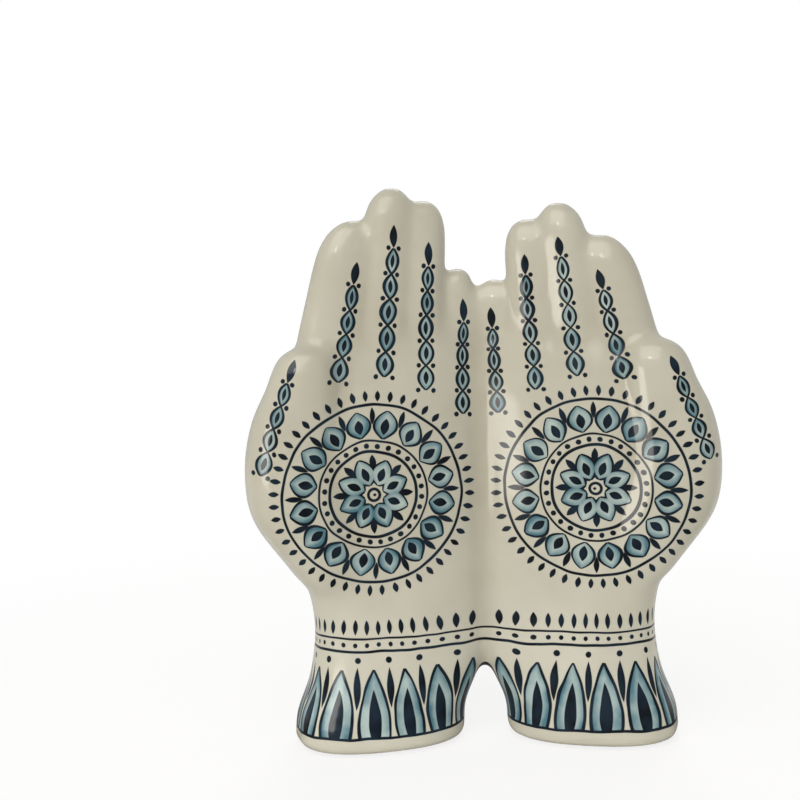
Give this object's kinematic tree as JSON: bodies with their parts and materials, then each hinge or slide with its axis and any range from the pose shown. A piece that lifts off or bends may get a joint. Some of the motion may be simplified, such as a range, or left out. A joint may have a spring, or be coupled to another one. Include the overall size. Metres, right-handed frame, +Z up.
{
  "type": "ceramic hand sculpture",
  "caption": "Standing glazed ceramic ornament of a pair of open hands, palms to the front, little fingers joined, wrists flared into feet with an arch between them.",
  "frame": {"origin": "on the surface that it stands on, under the middle of the sculpture's box", "axes": "+Z up along the fingers, -Y out of the palms towards the viewer, +X towards the right hand's thumb"},
  "size_m": [0.2, 0.0564, 0.238],
  "materials": {
    "glaze": "glossy ivory glaze with blue painting under it",
    "bare_clay": "unglazed fired clay",
    "felt": "pale pressed wool felt"
  },
  "bodies": {
    "root": {"left_hand": "glaze", "right_hand": "glaze", "slip_seam": "glaze", "left_base_plate": "bare_clay", "right_base_plate": "bare_clay", "left_front_pad": "felt", "left_outer_pad": "felt", "left_inner_pad": "felt", "right_front_pad": "felt", "right_outer_pad": "felt", "right_inner_pad": "felt"}
  },
  "joints": []
}
